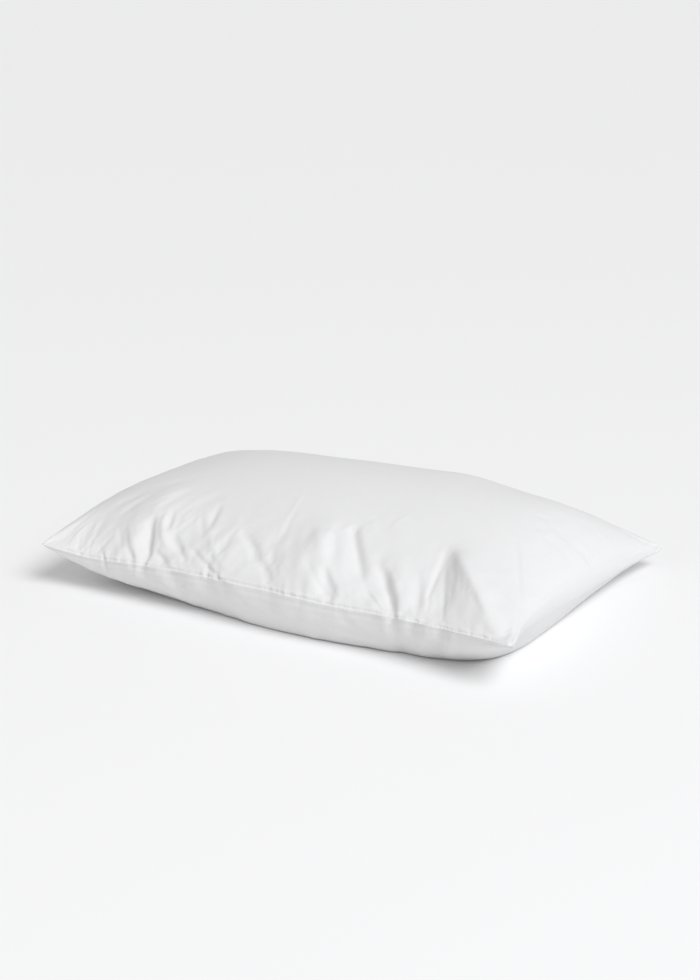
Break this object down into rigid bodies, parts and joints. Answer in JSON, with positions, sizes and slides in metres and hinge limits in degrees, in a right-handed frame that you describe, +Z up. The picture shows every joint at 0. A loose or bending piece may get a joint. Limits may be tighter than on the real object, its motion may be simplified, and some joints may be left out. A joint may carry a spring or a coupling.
{
  "type": "filled pillowcase",
  "caption": "White cotton pillowcase on its pillow: plump crown, drawn-in sides, thin pointed corners and a plain sewn edge all round, lying on its back face.",
  "frame": {"origin": "middle of the outline, on the surface that the back face rests on", "axes": "+X along the long side, +Y along the short side away from the edge that faces the camera, +Z up through the crown"},
  "size_m": [0.6604, 0.4638, 0.1396],
  "materials": {
    "white_cotton": "matt plain-weave cotton"
  },
  "bodies": {
    "root": {"pillowcase": "white_cotton"}
  },
  "joints": []
}
